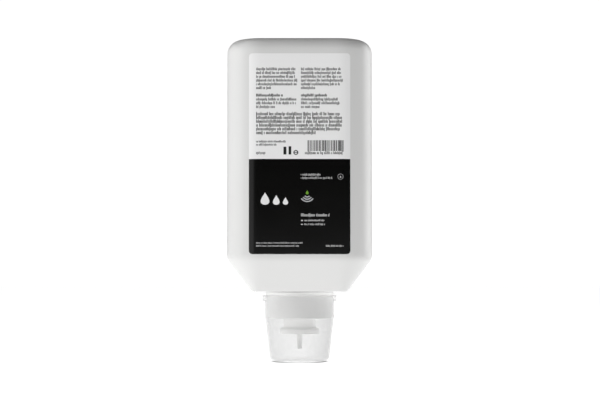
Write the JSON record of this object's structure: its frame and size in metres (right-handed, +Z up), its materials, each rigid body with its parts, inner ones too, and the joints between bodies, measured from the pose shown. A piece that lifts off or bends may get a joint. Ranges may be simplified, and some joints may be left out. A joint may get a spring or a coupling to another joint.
{
  "type": "hand soap refill pack",
  "caption": "White litre bottle standing neck down on a clear protective cap over its dosing pump, with a label on its front.",
  "frame": {"origin": "on the floor, under the middle of the protective cap", "axes": "+Z up along the pump's axis, from the cap to the bottle; the label faces -Y; X is across the bottle's width"},
  "size_m": [0.103, 0.0725, 0.2285],
  "materials": {
    "cap_clear": "thin clear polypropylene with a slight milk, smooth moulded",
    "bottle_white": "white blow-moulded polyethylene, satin",
    "soap": "creamy liquid",
    "label_film": "printed polypropylene film, off-white above and near-black below, semi-gloss",
    "pump_white": "white injection-moulded polypropylene, satin",
    "gasket_foam": "closed-cell foam",
    "cylinder_milky": "natural polypropylene",
    "silicone": "soft moulded silicone",
    "spring_steel": "drawn stainless wire",
    "piston_natural": "natural low-density polyethylene"
  },
  "bodies": {
    "cap": {"protective_cap": "cap_clear"},
    "bottle_unit": {"bottle": "bottle_white", "liquid_soap": "soap", "front_label": "label_film", "snap_collar": "pump_white", "neck_gasket": "gasket_foam", "pump_cylinder": "cylinder_milky", "inlet_valve": "silicone", "return_spring": "spring_steel"},
    "plunger": {"pump_plunger": "pump_white", "plunger_piston": "piston_natural", "outlet_valve": "silicone"}
  },
  "joints": [
    {"name": "cap_pull", "type": "slide", "parent": "cap", "child": "bottle_unit", "axis": [0, 0, 1], "range_m": [0, 0.06]},
    {"name": "pump_stroke", "type": "slide", "parent": "bottle_unit", "child": "plunger", "axis": [0, 0, 1], "range_m": [0, 0.006], "stiffness_N_per_m": 600, "springref_m": -0.004, "deforming": ["return_spring"]}
  ]
}
